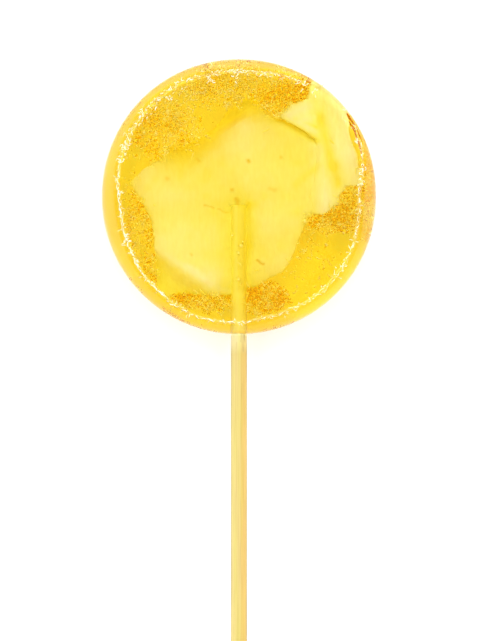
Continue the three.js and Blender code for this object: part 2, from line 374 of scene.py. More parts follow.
def face_height(x, y):
    """Height of the sugar's shown face at a place, the wrinkle included."""
    radius, angle = np.hypot(x, y), np.arctan2(y, x)
    ridge = ridge_radius(angle)
    broken = np.clip(relief(around_disc(angle), BROKEN, 3), 0, 1.2)
    off = radius - ridge - wander(angle)
    dish = FACE_DISH * (1 - np.clip(radius / ridge, 0, 1) ** 2)
    wrinkle = (WRINKLE[0] + WRINKLE[1] * broken) * np.exp(-((off / WRINKLE_WIDTH) ** 2))
    wrinkle += SHOULDER[0] * np.exp(-((off / SHOULDER[1]) ** 2))
    return FACE - dish + relief(flat_places(x, y), SWELL, 11) + wrinkle * lively(angle)


print("face height at the centre:", face_height(np.zeros(1), np.zeros(1)).round(2)[0])

# %% [markdown]
# The rings run from the middle of the face, over the ridge, round the rim and on to the flat back.
# The rim is a quarter of an ellipse: the sugar drew itself round under its own skin as it set.

# %% The sugar's rings
RIM_SLOPE = 1.2  # how far the rim drops, as a share of its width
BACK_ROUND = 1.8  # radius of the rounding at the back's edge
BEFORE_RIDGE, PAST_RIDGE = 0.6, 0.55  # between these the rings crowd together
FACE_RINGS, RIDGE_RINGS, RIM_RINGS, EDGE_RINGS = 24, 16, 12, 7  # the last are on the back's edge
FLAT_SHARES = (0.8, 0.6, 0.4, 0.2)  # where the rings on the flat back lie, as shares of its radius
ridge = ridge_radius(turn)
ring_radii = [share * (ridge - BEFORE_RIDGE - 0.1) for share in np.linspace(0.05, 1, FACE_RINGS)]
ring_radii += [ridge + offset for offset in np.linspace(-BEFORE_RIDGE, PAST_RIDGE, RIDGE_RINGS)]
rings = [(radius, face_height(radius * np.cos(turn), radius * np.sin(turn))) for radius in ring_radii]
shoulder, shoulder_height = rings[-1]
rim_drop = RIM_SLOPE * (DISC_RADIUS - ridge)
for quarter in np.linspace(0, math.pi / 2, RIM_RINGS + 1)[1:]:
    rings.append((shoulder + (DISC_RADIUS - shoulder) * math.sin(quarter),
                  shoulder_height - (shoulder_height - FACE + rim_drop) * (1 - math.cos(quarter))))
for quarter in np.linspace(0, math.pi / 2, EDGE_RINGS):
    rings.append((DISC_RADIUS - BACK_ROUND * (1 - math.cos(quarter)) + 0 * turn,
                  BACK_ROUND * (1 - math.sin(quarter)) + 0 * turn))
for share in FLAT_SHARES:
    rings.append((share * (DISC_RADIUS - BACK_ROUND) + 0 * turn, 0 * turn))

points = np.concatenate([
    np.stack([radius * np.cos(turn), radius * np.sin(turn), height], -1) for radius, height in rings
] + [[[0, 0, FACE - FACE_DISH], [0, 0, 0]]])
faces = ring_faces(len(rings), ROUNDS)
print(len(rings), "rings of", ROUNDS, "points")

# %% [markdown]
# Boiled sugar is clear and yellow. The colour is not on its surface: it is what is left of white
# light after a few millimetres of sugar, so the material is clear glass with an absorbing volume.
# Blue is lost fastest, green slowly, and red hardly at all, which is why thick places are amber and
# the thin rim is lemon. The surface adds a faint uneven tint, where the syrup caught a little more
# heat, and the softest ripple.
#
# Where the sugar is full of foam it is darker and more orange than its thickness explains. Light
# goes to and fro between bubbles that are far too fine to model, and so passes much more sugar. For
# those places the surface has a second tint, in grains, by a number that is stored on the points
# later, once it is known where the foam lies. The same tint is also painted shade: it is darkest
# just below the slices' edges and beside the stick, where the fruit shades the sugar.

# %% Sugar
LOSS = (8, 29, 370)  # of red, green and blue, for each metre of sugar
SUGAR_IOR = 1.5
CLOUDS = {0.35: 1, 0.7: (1, 0.97, 0.86)}
GRAINS = {0.42: 0.2, 0.58: 1}
# The foam's tint, which also serves as painted shade below the fruit's edges and beside the stick.
FOAM_AND_SHADE_TINT = {0.0: 1, 0.5: (1, 0.81, 0.22), 1.0: (0.97, 0.63, 0.06)}
sugar, tree, shader = start_material("clear boiled sugar", 0.03)
shader.inputs["IOR"].default_value = SUGAR_IOR
shader.inputs["Transmission Weight"].default_value = 1
volume = tree.nodes.new("ShaderNodeVolumeAbsorption")
volume.inputs["Color"].default_value = [1 - loss / max(LOSS) for loss in LOSS] + [1]
volume.inputs["Density"].default_value = max(LOSS)
tree.links.new(volume.outputs["Volume"], tree.nodes["Material Output"].inputs["Volume"])
clouds = ramp_node(tree, noise_node(tree, 9), CLOUDS)
grains = ramp_node(tree, noise_node(tree, 0.8), GRAINS)
foam_and_shade = mix_node(tree, stored_node(tree, "foam_and_shade"), grains, 1, "MULTIPLY")
tint = mix_node(tree, clouds, ramp_node(tree, foam_and_shade, FOAM_AND_SHADE_TINT), 1, "MULTIPLY")
tree.links.new(tint, shader.inputs["Base Color"])
bump_node(tree, shader, noise_node(tree, 1.2), 0.005)

sugar_body = mesh_piece("sugar_body", points, faces, sugar)
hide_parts("sugar_disc")

# %% [markdown]
# ## The melon slices
# Each slice is a thin sheet of dried melon with torn edges. Its outline, folds and waves are already
# in the measured solid, so the slice starts as a copy of it. A voxel remesh gives it even, small
# faces, and smoothing takes the facets away, with many more rounds on the flat of the sheet than on
# its torn sides, where corners should stay. Then noise moves the points: low waves across the sheet
# and ragged steps along the tear. Sculpting could do the same, but moves written in code can be
# repeated and changed.

# %% A finely meshed copy of a measured solid
FIRST_ROUNDS = 4  # of smoothing, over all the surface
SHEET_ROUNDS = 40  # more of it, on the flat of the sheet alone
PULL = 0.5  # how much of the way to its neighbours' middle a point moves in each round


def fine_copy(node, voxel):
    """Points, normals and four-cornered faces of a node's solid, remeshed and smoothed.

    The sheet is smoothed much more than its torn sides, which keep their corners."""
    source = bpy.data.objects.new("source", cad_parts[node].data.copy())
    bpy.context.collection.objects.link(source)
    remesh = source.modifiers.new("remesh", "REMESH")
    remesh.mode = "VOXEL"
    remesh.voxel_size = voxel * MM
    bpy.context.view_layer.update()
    evaluated = source.evaluated_get(bpy.context.evaluated_depsgraph_get())
    mesh = bpy.data.meshes.new_from_object(evaluated)
    points = np.array([v.co for v in mesh.vertices]) / MM
    faces = np.array([p.vertices for p in mesh.polygons])
    one, two = np.array([e.vertices for e in mesh.edges]).T
    flatness = np.clip(2 * np.abs([v.normal.z for v in mesh.vertices]) - 0.6, 0, 1)[:, None]
    count = len(points)
    neighbours = (np.bincount(one, minlength=count) + np.bincount(two, minlength=count))[:, None]
    for smoothing in range(FIRST_ROUNDS + SHEET_ROUNDS):
        around = np.stack([
            np.bincount(one, axis[two], count) + np.bincount(two, axis[one], count) for axis in points.T
        ], -1)
        share = PULL * (1 if smoothing < FIRST_ROUNDS else flatness)
        points += share * (around / neighbours - points)
    mesh.vertices.foreach_set("co", (points * MM).ravel())
    mesh.update()
    normals = np.array([v.normal for v in mesh.vertices])
    for old in (source.data, mesh):
        if old.users == 0:
            bpy.data.meshes.remove(old)
    bpy.data.objects.remove(source)
    return points, normals, faces


print("fine_copy is ready")

# %% [markdown]
# The marks on the slices are few and small: pits, a crack and a bruise or two. Each is a line from one
# place to another with a width, and it presses the surface in and darkens it. In the same way the
# slices have wet streaks, where sugar has soaked in and the flesh is clear and yellow, and dry ones
# along their edges and folds. A few yellow streaks are painted shade instead: one on the large slice
# under the small slice's edge, and those beside the stick. Both kinds of line are stored on the
# points as attributes, which the material reads.

# %% Marks and wet streaks on the melon
# Each mark: from (x, y) to (x, y), its width, how deep it is pressed in and how dark it is.
MARKS = [
    ((1.7, 6.4), (1.8, 6.2), 0.35, 0.12, 1.0),
    ((7.6, 7.0), (7.7, 6.9), 0.3, 0.08, 0.5),
    ((-13, 3.2), (-12.9, 3.0), 0.35, 0.08, 0.5),
    ((-1.3, 1.3), (-1.2, 1.1), 0.3, 0.08, 0.7),
    ((-6.2, -1.7), (-4.6, -2.1), 0.16, 0.06, 0.6),
    ((-3.9, -2.3), (-2.2, -2.8), 0.13, 0.05, 0.5),
    ((3.3, -11.7), (4.5, -12.3), 0.2, 0.06, 0.9),
    ((-0.6, -0.5), (-0.1, -0.9), 0.4, 0.08, 0.7),
    ((-7.5, 6.5), (-7.2, 6.3), 0.3, 0.06, 0.4),
    ((-8.6, -10.6), (-8.5, -10.7), 0.25, 0.06, 0.5),
    ((5.4, 1.5), (6.4, 1.1), 0.4, 0.05, 0.4),
]
# Each streak: from (x, y) to (x, y), its width and how wet it is; the painted shade streaks use the same
# scale. Below zero it is dry and paler.
STREAKS_AND_SHADE = [
    ((14.7, 14.2), (17.0, 5.4), 1.1, 1.0),
    ((17.0, 5.4), (18.0, 2.2), 0.9, 0.8),
    # Painted shadow on the large slice, under the small slice's edge.
    ((7.2, 14.0), (14.0, 9.9), 0.7, 1.2),
    # Painted shade in the groove beside the stick, here and in the next two.
    ((1.9, -1.4), (2.1, -9.0), 0.8, 0.6),
    ((1.5, -1.5), (1.6, -16.5), 0.5, 0.7),
    ((-1.5, -2.0), (-1.55, -16.5), 0.3, 0.2),
    ((14.2, 5.5), (10.3, 2.2), 0.8, 0.45),
    ((13.0, -1.5), (10.5, -3.0), 1.0, 0.4),
    ((-16.5, -9.5), (-13.8, -16.0), 1.6, 0.5),
    ((9.0, 14.6), (12.6, 16.2), 0.7, -0.9),
    ((10.8, 13.3), (13.6, 14.2), 0.45, -0.8),
    ((12.0, 12.6), (13.9, 11.6), 0.4, -0.7),
    ((10.0, 14.0), (14.0, 12.4), 0.3, 0.5),
    ((16.2, 15.0), (17.4, 10.0), 0.9, -0.6),
    ((15.0, 3.0), (15.4, -2.8), 1.0, -0.8),
    ((-14.8, -9.8), (-5.0, -16.0), 0.6, -0.9),
    ((-3.6, -16.9), (-1.7, -17.2), 0.4, -0.9),
    ((-9.5, -12.6), (-7.4, -13.8), 0.5, -0.8),
    ((-13.5, -14.5), (-12.0, -17.0), 1.5, -0.5),
    ((-10, -5), (-7, -8), 3.0, -0.4),
    ((3, 11), (1.5, 8), 2.6, -0.4),
]
CROOKED = 0.22  # how far a mark strays from its straight line
WET = [(0.38, 4.2), (0.32, 1.5)]


def near_line(points, start, end, width):
    """1 on a line seen from above, falling to 0 at about twice its width."""
    start, along = np.array(start), np.subtract(end, start)
    share = np.clip((points[:, :2] - start) @ along / (along @ along), 0, 1)
    away = np.linalg.norm(points[:, :2] - start - share[:, None] * along, axis=1)
    return np.exp(-((away / width) ** 2))


def marked(points):
    """How deep and how dark the marks are at each point."""
    deep, dark = np.zeros(len(points)), np.zeros(len(points))
    crooked = np.stack([mottle(points, 0.7, 93), mottle(points, 0.7, 94), 0 * points[:, 0]], -1)
    points = points + CROOKED * crooked
    for start, end, width, depth, darkness in MARKS:
        here = near_line(points, start, end, width)
        deep += depth * here
        dark = np.maximum(dark, darkness * here)
    return deep, dark


def wetness_and_shade(points):
    """How wet the flesh is at each point, with 0 as the usual, painted shade streaks included."""
    wet_and_shade = relief(points, WET, 91)
    for start, end, width, amount in STREAKS_AND_SHADE:
        wet_and_shade = wet_and_shade + amount * near_line(points, start, end, width)
    return wet_and_shade


print(len(MARKS), "marks and", len(STREAKS_AND_SHADE), "streaks")

# %% [markdown]
# The measured solids keep a small clearance, and in the real sweet there is none. So the slices
# swell a little, the flesh is drawn up to the wood, and the small slice is let down on the large one
# in one corner and reaches farther into the rim. The large slice in turn comes up to meet it, and is
# raised at its own top too, where the measured one lies deeper than the real one seems to.

# %% How the pieces meet
low, high = (np.array(corner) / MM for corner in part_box("stick"))
stick_radius = (high[0] - low[0]) / 2
stick_height = (high[2] + low[2]) / 2
stick_end = high[1]
CLOSE = 0.6  # flesh nearer the wood than this is drawn up to it
BED_GAP = 0.35  # how far from the wood the bed's flesh was
END_ROOM = 0.1
SINK = 0.18  # how far the flesh reaches into the wood's furrows


def closed_on_stick(points):
    """The points, with those that lie near the stick drawn up to its surface."""
    points = points.copy()
    across = points[:, [0, 2]] - (0, stick_height)
    away = np.linalg.norm(across, axis=1)
    past = points[:, 1] - stick_end
    beside = (away < stick_radius + CLOSE) & (past < END_ROOM)
    snug = stick_radius - SINK + (away[beside] - stick_radius).clip(BED_GAP) - BED_GAP
    points[np.ix_(beside, [0, 2])] = (0, stick_height) + across[beside] * (snug / away[beside])[:, None]
    before = (away < stick_radius + BED_GAP) & (past >= END_ROOM) & (past < CLOSE)
    points[before, 1] = stick_end - SINK + past[before].clip(BED_GAP) - BED_GAP
    return points


LEANING = (15.3, 10)  # where x and y are less than these, the small slice leans on the large one
LEAN = 0.6
LEAN_FADE = 1.8
RIM_END = (math.radians(48), math.radians(14))  # middle and half width of its end at the rim
RIM_START = 21.5  # the reach into the rim begins this far from the centre,
RIM_FADE = 2  # and is full this much farther out
RIM_REACH = 0.8


def leaned(points):
    """Points of the small slice, let down in its leaning corner and drawn out into the rim's round."""
    share = ((LEANING - points[:, :2]) / LEAN_FADE).clip(0, 1).prod(axis=1)
    points = points - np.outer(share, (0, 0, LEAN))
    distance, angle = np.hypot(points[:, 0], points[:, 1]), np.arctan2(points[:, 1], points[:, 0])
    near_rim = ((distance - RIM_START) / RIM_FADE).clip(0, 1)
    out = near_rim * np.exp(-(((angle - RIM_END[0]) / RIM_END[1]) ** 4))
    points[:, :2] *= (1 + RIM_REACH * out / distance)[:, None]
    return points


# Where the large slice is raised: from (x, y) to (x, y), its width and by how much.
RAISED = [
    ((14.1, 8.5), (12.9, -2), 1.4, 0.6),
    ((8.6, 13.4), (13.8, 10.2), 1.1, 0.4),
    ((-2.6, 13.2), (0.2, 13.6), 2.4, 1.2),
]
UNDERSIDE = 4.4  # only points higher than this are raised,
RAISED_FADE = 0.8  # and in full those this much higher


def met(points):
    """Points of the large slice, raised to meet the small slice's free edge, and at its own top."""
    for start, end, width, height in RAISED:
        upper = ((points[:, 2] - UNDERSIDE) / RAISED_FADE).clip(0, 1)
        points = points + np.outer(near_line(points, start, end, width) * upper, (0, 0, height))
    return points


print("the small slice leans in by", LEAN, "mm")

# %% [markdown]
# The tear is rougher than the sheet: points whose normal lies flat belong to it, and only they get
# the coarse ragged noise. The sheet itself has low waves alone.

# %% A slice
MELON_SWELL = 0.12
RAGGED = [(0.28, 1.1), (0.16, 0.45)]
SHEET_WAVES = [(0.07, 2.4), (0.03, 0.7)]


def melon_slice(name, node, voxel, fitted, material, seed):
    points, normals, faces = fine_copy(node, voxel)
    points = fitted(points)
    edge = np.clip(1.1 - 2 * np.abs(normals[:, 2]), 0, 1)
    upward = np.clip(normals[:, 2], 0, 1)
    deep, dark = marked(points)
    lift = MELON_SWELL + relief(points, SHEET_WAVES, seed + 2) + relief(points, RAGGED, seed) * edge
    points = closed_on_stick(points + normals * (lift - deep * upward)[:, None])
    piece = mesh_piece(name, points, faces, material)
    store(piece, "stain", dark * upward)
    store(piece, "wet_and_shade", 0.5 + 0.5 * wetness_and_shade(points))
    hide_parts(node)
    return piece


print("melon_slice is ready")

# %% [markdown]
# Dried melon is pale, matt and a little uneven: cream where it is dry, clear and more yellow where
# it is wet with sugar. The wetness, with the painted shade streaks in it, picks the tone, the stain
# turns the marks to a warm ochre, and a fine stretched noise gives the fibres their relief.

# %% Dried melon
# The wet end of these tones also colours the painted shade streaks.
FLESH_TONES = {0.0: (0.99, 1, 0.94), 0.25: (0.98, 1, 0.86), 0.5: (0.97, 0.99, 0.76),
               0.75: (0.96, 0.955, 0.54), 1.0: (0.95, 0.9, 0.27)}  # from dry to wet
FIBRES = {0.3: (0.96, 0.94, 0.85), 0.7: 1}
BRUISE = {0.3: (0.78, 0.55, 0.07), 0.7: (0.84, 0.62, 0.1)}
melon, tree, shader = start_material("dried melon", 0.6)
tones = ramp_node(tree, stored_node(tree, "wet_and_shade"), FLESH_TONES)
fibres = ramp_node(tree, noise_node(tree, 0.5, 3, (1, 4, 1)), FIBRES)
flesh = mix_node(tree, tones, fibres, 0.9, "MULTIPLY")
bruise = ramp_node(tree, noise_node(tree, 0.4), BRUISE)
tree.links.new(mix_node(tree, flesh, bruise, stored_node(tree, "stain")), shader.inputs["Base Color"])
bump_node(tree, shader, noise_node(tree, 0.35, 3, (1, 3, 1)), 0.04)

main_slice = melon_slice("melon_sheet_main", "melon_slice_main", 0.22, met, melon, 31)
upper_slice = melon_slice("melon_sheet_upper", "melon_slice_upper", 0.15, leaned, melon, 41)

# %% [markdown]
# ## The bamboo stick
# The stick is turned from split bamboo. Its fibres run its whole length, so the round surface is
# slightly furrowed. Its two halves differ in tone, partly because one was nearer the skin of the cane
# and partly as painted shade on its right side.
# The points are rings along the stick, and the furrows are noise that is stretched along it.

# %% Stick
STICK_SIDES = 72
STICK_RINGS = 420
CHAMFER = 0.25
FURROWS = [(0.022, 1.1), (0.016, 0.45)]
SHAVED = 0.03  # the furrows lie this much inside the measured stick
END_STEP = 0.06  # from the ring at an end to the next one
END_RING = 0.45  # radius of the ring on the flat end, as a share of the stick's
GRAIN = (6, 1 / 9)  # how the noise is squeezed round the stick and drawn out along it
around = -np.arange(STICK_SIDES) * 2 * math.pi / STICK_SIDES  # this way round, the faces point out
lengthwise = np.concatenate([
    [high[1], high[1]],
    np.linspace(high[1] - END_STEP, low[1] + END_STEP, STICK_RINGS),
    [low[1], low[1]],
])
ends = np.minimum(high[1] - lengthwise, lengthwise - low[1])
sheer = stick_radius - CHAMFER * (1 - np.clip(ends / CHAMFER, 0, 1))
sheer[[0, -1]] = stick_radius * END_RING
ring_points = []
for y, radius in zip(lengthwise, sheer):
    level = np.full(STICK_SIDES, y)
    unrolled = np.stack([np.cos(around) * GRAIN[0], level * GRAIN[1], np.sin(around) * GRAIN[0]], -1)
    skin = radius + relief(unrolled, FURROWS, 51) - SHAVED
    ring_points.append(np.stack([np.cos(around) * skin, level, stick_height + np.sin(around) * skin], -1))
points = np.concatenate(ring_points + [[[0, high[1], stick_height], [0, low[1], stick_height]]])
faces = ring_faces(len(lengthwise), STICK_SIDES)
print(f"stick: {2 * stick_radius:.2f} mm thick, {high[1] - low[1]:.1f} mm long")

# %% [markdown]
# The wood's colour is in layers: a pale tone and a deeper one that meet along a fairly sharp line,
# thin streaks along the fibres, and a few dark fibre marks where the stick leaves the sugar. The
# deeper tone on the right is partly painted shade, and both edges carry a dark rim of painted shade
# where the round stick turns away. Inside the sweet the wood is soaked and yellower, in one way under
# the fruit and in another in clear sugar, so two more ramps run across it there; these are paler at
# both edges, a painted light over the shade at the stick's sides. Just out of the disc, the soaked
# tone is partly sugar that crept down the stick and partly painted light over the disc's shadow.

# %% Bamboo
STAIN_LENGTH = 3.6  # how far sugar has crept down the stick, out of the disc
FLESH_ENDS = -17.3  # y of the fruit's edge at the stick
STRAY = 0.5  # how far the two tones' border wanders, in all
# Two tones across the stick, with painted shade: the darker right half in part, and the dark rims at both
# edges.
HALVES_AND_PAINTED_SHADE = {0.0: (0.45, 0.36, 0.18), 0.09: (0.7, 0.57, 0.19), 0.58: (0.7, 0.56, 0.18),
          0.66: (0.69, 0.49, 0.125), 0.92: (0.68, 0.46, 0.12), 1.0: (0.45, 0.31, 0.1)}
# Inside the sugar, paler at both edges: painted light over the shade at the stick's sides.
UNDER_FLESH_WITH_PAINTED_LIGHT = {0.0: (1, 1, 0.75), 0.12: (0.96, 0.97, 0.5), 0.36: (0.95, 0.96, 0.45),
               0.46: (0.93, 0.88, 0.26), 0.88: (0.93, 0.88, 0.26), 1.0: (1, 1, 0.6)}
IN_SUGAR_WITH_PAINTED_LIGHT = {0.0: (1, 1, 0.8), 0.1: (1, 1, 0.55), 0.4: (1, 1, 0.5),
            0.55: (1, 0.97, 0.4), 0.9: (1, 0.97, 0.4), 1.0: (1, 1, 0.7)}
# Just below the disc the soaked tone is partly real sugar and partly painted light over the disc's shadow
# on the stick.
SOAKED_AND_PAINTED_LIGHT = {0.0: 0, 0.9: 0.5, 1.0: 1}
bamboo, tree, shader = start_material("split bamboo", 0.55)
place = tree.nodes.new("ShaderNodeTexCoord")
split = tree.nodes.new("ShaderNodeSeparateXYZ")
tree.links.new(place.outputs["Object"], split.inputs[0])
drift = noise_node(tree, 2, 2, (1, 12, 1))
shifted = tree.nodes.new("ShaderNodeMath")
shifted.operation = "MULTIPLY_ADD"
shifted.inputs[1].default_value = STRAY * MM
tree.links.new(drift, shifted.inputs[0])
tree.links.new(split.outputs["X"], shifted.inputs[2])


def share_between(tree, source, start, end):
    """0 where the source is at start millimetres or less, 1 at end or more."""
    share = tree.nodes.new("ShaderNodeMapRange")
    share.inputs["From Min"].default_value = start * MM
    share.inputs["From Max"].default_value = end * MM
    tree.links.new(source, share.inputs["Value"])
    return share.outputs["Result"]


crosswise = share_between(tree, shifted.outputs[0], STRAY / 2 - stick_radius, STRAY / 2 + stick_radius)
streaks = ramp_node(tree, noise_node(tree, 0.16, 3, (1, 60, 1)), {0.3: (0.84, 0.78, 0.64), 0.55: 1})
tints = ramp_node(tree, noise_node(tree, 0.9, 2, (1, 16, 1)), {0.35: (1, 0.97, 1), 0.65: (0.98, 1, 0.82)})
streaked = mix_node(tree, ramp_node(tree, crosswise, HALVES_AND_PAINTED_SHADE), streaks, 0.7, "MULTIPLY")
dry = mix_node(tree, streaked, tints, 1, "MULTIPLY")
under_flesh, in_sugar = ramp_node(tree, crosswise, UNDER_FLESH_WITH_PAINTED_LIGHT), ramp_node(tree, crosswise, IN_SUGAR_WITH_PAINTED_LIGHT)
into_flesh = share_between(tree, split.outputs["Y"], FLESH_ENDS - 0.5, FLESH_ENDS + 0.5)
wet_tones = mix_node(tree, in_sugar, under_flesh, into_flesh)
up_the_stick = share_between(tree, split.outputs["Y"], -DISC_RADIUS - STAIN_LENGTH, -DISC_RADIUS)
wood = mix_node(tree, dry, wet_tones, ramp_node(tree, up_the_stick, SOAKED_AND_PAINTED_LIGHT))
dark_fibre = ramp_node(tree, drift, {0.4: (0.6, 0.32, 0.06), 0.6: (0.5, 0.34, 0.1)})
tree.links.new(mix_node(tree, wood, dark_fibre, stored_node(tree, "stain")), shader.inputs["Base Color"])
bump_node(tree, shader, noise_node(tree, 0.12, 3, (1, 80, 1)), 0.02)

# Each stain: from (x, y) to (x, y), its width and how dark it is.
STICK_STAINS = [
    ((0.75, -25.2), (0.8, -28.0), 0.3, 0.35),
    ((0.45, -25.1), (0.35, -26.4), 0.1, 0.5),
    ((0.95, -25.0), (1.05, -26.2), 0.12, 0.8),
    ((0.75, -27.2), (0.8, -28.1), 0.11, 0.8),
    ((-0.4, -26.5), (-0.45, -27.6), 0.08, 0.3),
    ((0.6, -34.0), (0.55, -36.5), 0.07, 0.35),
    ((1.1, -55.0), (1.15, -58.5), 0.1, 0.4),
]
stain = np.zeros(len(points))
for start, end, width, darkness in STICK_STAINS:
    stain = np.maximum(stain, darkness * near_line(points, start, end, width))
stain *= points[:, 2] > stick_height
bamboo_stick = mesh_piece("bamboo_stick", points, faces, bamboo)
store(bamboo_stick, "stain", stain)
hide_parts("stick")

# %% [markdown]
# ## Bubbles
# A boiled syrup holds a great many bubbles. In clear sugar a bubble is only a hollow: a bright
# middle, because light goes straight through, and a dark ring, because light at its side is bent
# away. So each bubble is a real hollow here: a small ball whose faces point inwards, which bends
# light as the sugar does. Its wall is tinted amber, because the light that reaches it in real foam
# has wound its way past many finer bubbles. Bubbles crowd where the syrup foamed against the fruit,
# and are rare over the fruit and in the smooth outer band, so a map of patches says how dense they
# are. The same map says how dark the sugar is painted, for its foam and, just below the slices'
# edges and beside the stick, for painted shade of the fruit. That is stored on the sugar's points.

# %% Where bubbles gather
# Each patch: its middle (x, y), its half widths along x and y, and how crowded it is with bubbles,
# how crowded with froth, and how dark the sugar is painted, for foam and, at the fruit's edges, for
# painted shade.
PATCHES = {
    "upper left": (-14.5, 12, 6.5, 5.5, 0.35, 0.8, 1.1),
    "top": (-3, 20, 9, 3.5, 0.3, 0.7, 0.8),
    "top right": (8, 18.5, 6, 3.5, 0.9, 0.8, 2.2),
    "left": (-18.2, -4, 2.6, 9, 0.35, 0.5, 0.9),
    "lower left": (-16, -13.5, 2.4, 3.5, 0.35, 0.2, 1),
    "under the small slice": (17, -3, 4.5, 3.2, 1.4, 1.2, 1.8),
    "right rim": (23.6, 2, 1.8, 11, 0.12, 0.4, 3),
    "between the small slice and the rim": (20.3, -0.3, 2, 2, 1.3, 1, 2.6),
    # From here to the small slice's edge, the darkness column is mostly painted shade below the fruit's
    # edges and beside the stick.
    "under the main slice": (-6, -19.3, 5.5, 1.7, 2.6, 0.9, 2.6),
    "beside the stick": (4.5, -18.6, 3.8, 2.6, 3.2, 0.8, 3.2),
    "at the main slice's edge": (-7, -18.4, 6.5, 0.8, 4.5, 0.5, 4.5),
    "where the stick leaves the slice": (3.2, -17.3, 2.2, 1.0, 5, 0.4, 5),
    "at the small slice's edge": (15.5, -4, 4, 1.2, 2.5, 0.6, 2.5),
    "lower right": (13, -12, 6, 7, 0.03, 0.05, 0.5),
}
ELSEWHERE = (0.015, 0.01, 0)
OPEN_SIDE = (-0.35, 1.9)  # between these angles the bubbles run on outside the ridge,
INSIDE_RIDGE = 0.4  # and elsewhere they stay this far inside it
CLEAR_COVER = 2.4  # over fruit that lies less than this far below the face,
FRUIT_COVER = 0.04  # the crowding falls to this share,
COVER_FADE = 4  # and it is full where the fruit lies this much deeper
CLUMPS = [(1, 2.6), (0.5, 1.1)]
MAP_STEP = 0.25
FULL_FOAM_AND_SHADE = 1.7  # the crowding at which the sugar is darkest
steps = np.arange(-DISC_RADIUS, DISC_RADIUS + MAP_STEP, MAP_STEP)
map_x, map_y = np.meshgrid(steps, steps)


def surface_of(piece):
    mesh = piece.data
    return BVHTree.FromPolygons([v.co / MM for v in mesh.vertices], [p.vertices for p in mesh.polygons])


surfaces = [surface_of(piece) for piece in (main_slice, upper_slice, bamboo_stick)]


def depth_of_fruit(x, y):
    """How far below the face the highest fruit or wood lies at a place."""
    hits = [surface.ray_cast(Vector((x, y, 20)), Vector((0, 0, -1)))[0] for surface in surfaces]
    return FACE - max((hit.z for hit in hits if hit), default=-math.inf)


fruit_depth = np.vectorize(depth_of_fruit)(map_x, map_y)


def crowd_map(kind, seed):
    """How crowded each place is with bubbles (kind 0) or froth (1), or how dark the sugar is painted, for
    foam and for painted shade (2).
    """
    crowd = np.full(map_x.shape, ELSEWHERE[kind])
    for middle_x, middle_y, half_x, half_y, *amount in PATCHES.values():
        off = ((map_x - middle_x) / half_x) ** 2 + ((map_y - middle_y) / half_y) ** 2
        crowd = np.maximum(crowd, amount[kind] * np.exp(-(off**2)))
    clumps = relief(flat_places(map_x, map_y).reshape(-1, 3), CLUMPS, seed)
    crowd *= np.clip(0.75 + 0.8 * clumps, 0.1, 1.5).reshape(crowd.shape)
    crowd *= np.clip((fruit_depth - CLEAR_COVER) / COVER_FADE, FRUIT_COVER, 1)
    angle = np.arctan2(map_y, map_x)
    closed_side = (angle < OPEN_SIDE[0]) | (angle > OPEN_SIDE[1])
    crowd[closed_side & (np.hypot(map_x, map_y) > ridge_radius(angle) - INSIDE_RIDGE)] = 0
    return crowd


crowd_maps = [crowd_map(0, 55), crowd_map(1, 57), crowd_map(2, 55)]
skin_points = np.array([v.co for v in sugar_body.data.vertices]) / MM
cells = ((skin_points[:, 1::-1] + DISC_RADIUS) / MAP_STEP).round().astype(int).clip(0, len(steps) - 1)
foam_and_shade = crowd_maps[2][tuple(cells.T)] * (skin_points[:, 2] > FACE / 2)
store(sugar_body, "foam_and_shade", foam_and_shade / FULL_FOAM_AND_SHADE)
print(f"{len(PATCHES)} patches, foam up to {foam_and_shade.max():.1f}")

# %% [markdown]
# Each bubble is tried at a random place and kept only if the patch map allows it, if it is clear of
# the fruit and the wood, and if it touches no other bubble. A coarse grid of the bubbles so far
# makes that last test quick.

# %% Scatter bubbles
GRID = 0.8
TRIES = 60  # for each bubble that is wanted
SKIN = 0.28  # sugar that is left between a bubble and the outside,
FILM = 0.03  # a bubble and the fruit,
WALL = 0.02  # and two bubbles
MORE_SMALL = 1.6  # the higher, the more of the bubbles are small
LUMPS = 0.05  # how uneven a ball is, as a share of its radius
taken = {}


def free_place(x, y, z, radius):
    """True, and the place is taken, if a ball fits there."""
    for surface in surfaces:
        nearest, normal, face, distance = surface.find_nearest(Vector((x, y, z)))
        if distance < radius + FILM or (Vector((x, y, z)) - nearest).dot(normal) < 0:
            return False
    cell = tuple(int(v // GRID) for v in (x, y, z))
    for step in itertools.product((-1, 0, 1), repeat=3):
        for other in taken.get(tuple(np.add(cell, step)), ()):
            if math.dist(other[:3], (x, y, z)) < other[3] + radius + WALL:
                return False
    taken.setdefault(cell, []).append((x, y, z, radius))
    return True


def top_at(distance, angle):
    """Height of the sugar's upper side, on the face or on the rim's round."""
    ridge = ridge_radius(angle)
    out = ((distance - ridge) / (DISC_RADIUS - ridge)).clip(0, 1)
    return FACE - RIM_SLOPE * (DISC_RADIUS - ridge) * (1 - np.sqrt(1 - out**2))


